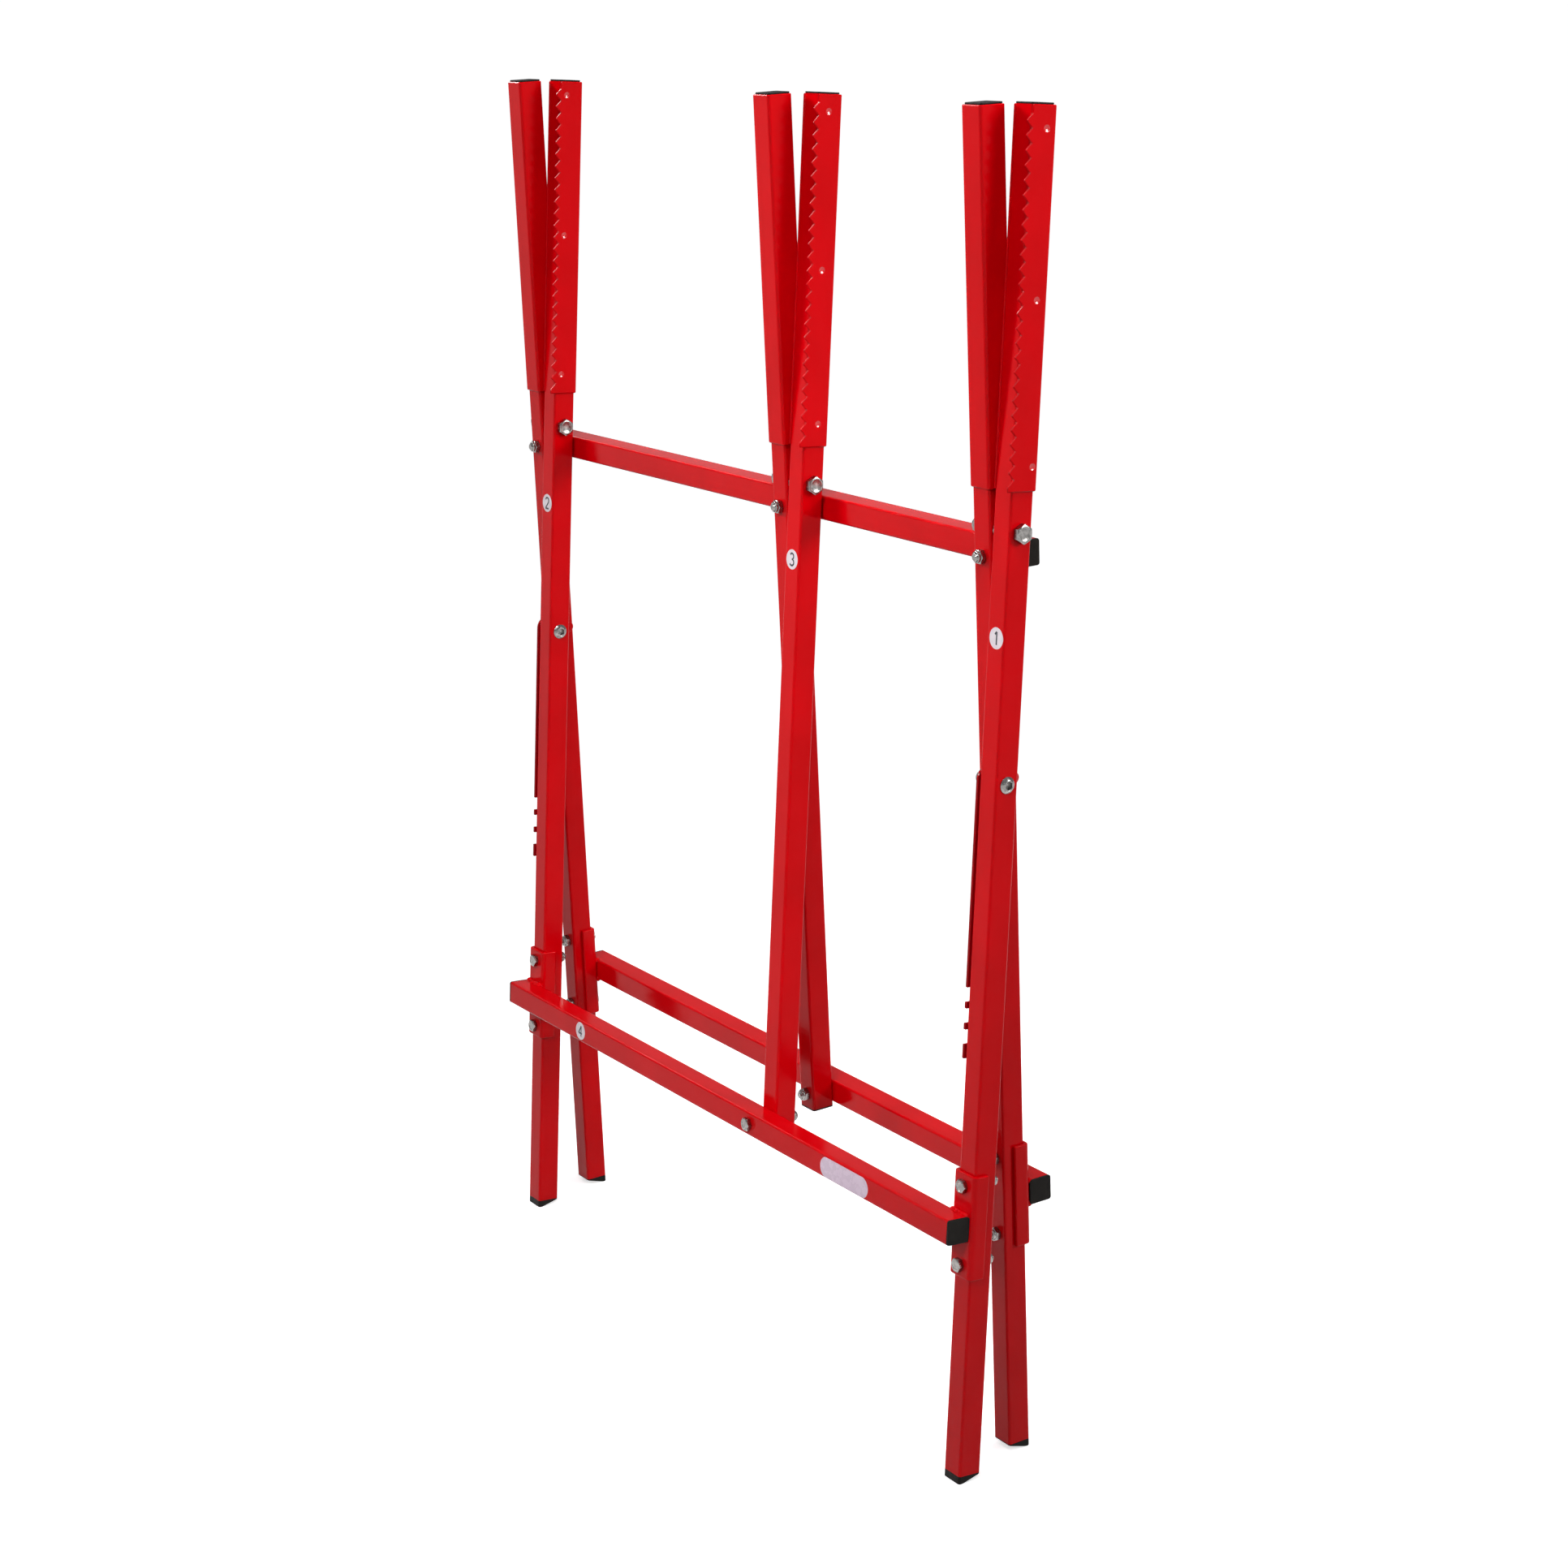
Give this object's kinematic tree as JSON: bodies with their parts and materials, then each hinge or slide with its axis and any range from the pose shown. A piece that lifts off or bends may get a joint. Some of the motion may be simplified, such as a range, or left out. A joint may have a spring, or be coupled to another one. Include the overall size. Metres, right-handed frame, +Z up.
{
  "type": "folding log saw stand",
  "caption": "Folding steel stand with toothed crossed legs that hold a log while it is sawn, shown folded flat.",
  "frame": {"origin": "on the floor under the middle of the folded stand", "axes": "+X along the stand towards the right cross, +Y towards the rear legs' feet, +Z up"},
  "size_m": [0.7232, 0.1218, 1.0369],
  "materials": {
    "red_paint": "gloss red powder coat",
    "zinc_steel": "bright zinc plate",
    "black_plastic": "moulded black plastic"
  },
  "bodies": {
    "front_frame": {"front_leg_right": "red_paint", "front_leg_middle": "red_paint", "front_leg_left": "red_paint", "front_jaw_right": "red_paint", "front_jaw_middle": "red_paint", "front_jaw_left": "red_paint", "front_leg_cap_right": "black_plastic", "front_leg_cap_middle": "black_plastic", "front_leg_cap_left": "black_plastic", "front_foot_right": "black_plastic", "front_foot_left": "black_plastic", "front_middle_plug": "black_plastic", "front_rail": "red_paint", "front_rail_cap_right": "black_plastic", "front_rail_cap_left": "black_plastic", "front_bracket_right": "red_paint", "front_bracket_left": "red_paint", "front_bracket_bolts": "zinc_steel", "front_bracket_nuts": "zinc_steel", "front_middle_bolt": "zinc_steel", "front_middle_nut": "zinc_steel", "pivot_bolts": "zinc_steel", "pivot_nuts": "zinc_steel", "pivot_spacers": "zinc_steel", "spreader_screw_right": "zinc_steel", "spreader_screw_left": "zinc_steel", "spreader_nut_right": "zinc_steel", "spreader_nut_left": "zinc_steel"},
    "rear_frame": {"rear_leg_right": "red_paint", "rear_leg_middle": "red_paint", "rear_leg_left": "red_paint", "rear_jaw_right": "red_paint", "rear_jaw_middle": "red_paint", "rear_jaw_left": "red_paint", "rear_leg_cap_right": "black_plastic", "rear_leg_cap_middle": "black_plastic", "rear_leg_cap_left": "black_plastic", "rear_foot_right": "black_plastic", "rear_foot_left": "black_plastic", "rear_middle_plug": "black_plastic", "rear_rail": "red_paint", "rear_rail_cap_right": "black_plastic", "rear_rail_cap_left": "black_plastic", "rear_bracket_right": "red_paint", "rear_bracket_left": "red_paint", "rear_bracket_bolts": "zinc_steel", "rear_bracket_nuts": "zinc_steel", "rear_middle_bolt": "zinc_steel", "rear_middle_nut": "zinc_steel", "upper_rail": "red_paint", "upper_rail_cap_right": "black_plastic", "upper_rail_cap_left": "black_plastic", "upper_rail_bolts": "zinc_steel", "upper_rail_nuts": "zinc_steel", "hook_pin_right": "red_paint", "hook_pin_left": "red_paint"},
    "spreader_right": {"spreader_bar_right": "red_paint"},
    "spreader_left": {"spreader_bar_left": "red_paint"}
  },
  "joints": [
    {"name": "fold", "type": "hinge", "parent": "front_frame", "child": "rear_frame", "pos_m": [0, 0.00014, 0.73539], "axis": [1, 0, 0], "range_deg": [0, 59]},
    {"name": "spreader_right_swing", "type": "hinge", "parent": "front_frame", "child": "spreader_right", "pos_m": [0.333, -0.00825, 0.55058], "axis": [1, 0, 0], "range_deg": [0, 117]},
    {"name": "spreader_left_swing", "type": "hinge", "parent": "front_frame", "child": "spreader_left", "pos_m": [-0.332, -0.00825, 0.55058], "axis": [1, 0, 0], "range_deg": [0, 117]}
  ],
  "couplings": [
    {"joint": "spreader_right_swing", "follows": "fold", "ratio": 1.98},
    {"joint": "spreader_left_swing", "follows": "fold", "ratio": 1.98}
  ]
}
